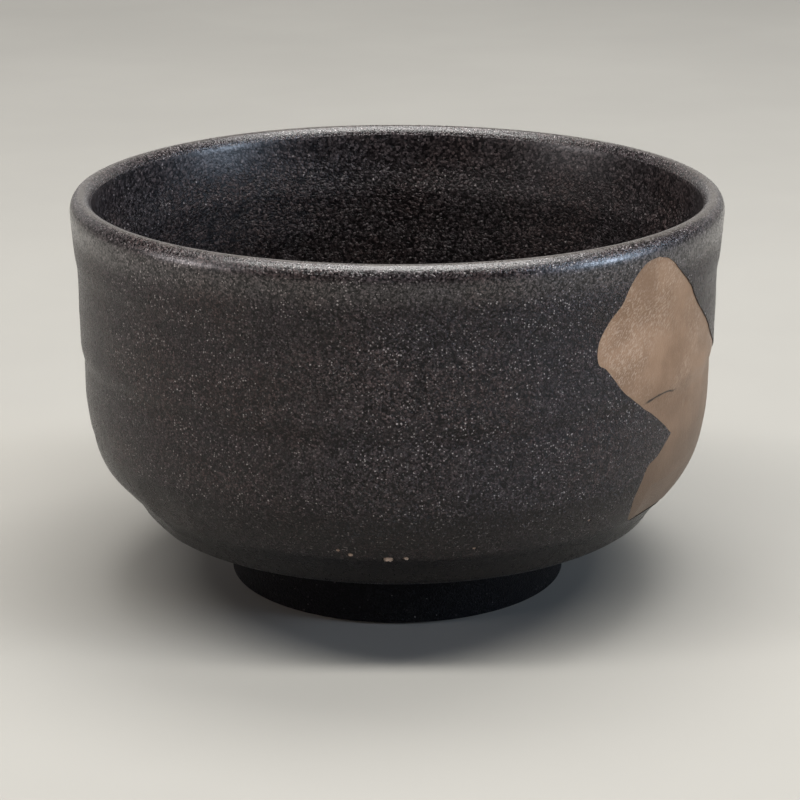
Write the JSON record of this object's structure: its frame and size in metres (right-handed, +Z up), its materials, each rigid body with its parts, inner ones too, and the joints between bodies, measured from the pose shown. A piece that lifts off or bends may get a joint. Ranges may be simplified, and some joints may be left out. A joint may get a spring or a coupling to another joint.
{
  "type": "matcha bowl",
  "caption": "Round matcha tea bowl with a rolled lip, trimmed lower wall, raised foot ring, black speckled glaze and a copper-brown glazed panel.",
  "frame": {"origin": "centre of the foot ring's base, on the surface the bowl stands on", "axes": "+Z up through the middle of the bowl, front of the bowl towards -Y, the copper panel towards +X"},
  "size_m": [0.122, 0.122, 0.0754],
  "materials": {
    "fired_clay": "fired stoneware, matt, fine grained",
    "foot_clay": "fired stoneware, matt, bare at its base",
    "black_speckled_glaze": "satin black-brown with a fine sugary speckle",
    "black_inner_glaze": "satin black-brown, coarser mottled speckle",
    "thin_lip_glaze": "thin grey-brown glaze over the lip",
    "foot_black_glaze": "satin blue-black",
    "well_black_glaze": "satin blue-black",
    "copper_brown_glaze": "satin copper brown with a fine metallic glitter"
  },
  "bodies": {
    "root": {"clay_body": "fired_clay", "foot_ring": "foot_clay", "outer_glaze": "black_speckled_glaze", "inner_glaze": "black_inner_glaze", "lip_glaze": "thin_lip_glaze", "foot_glaze": "foot_black_glaze", "well_glaze": "well_black_glaze", "copper_patch": "copper_brown_glaze"}
  },
  "joints": []
}
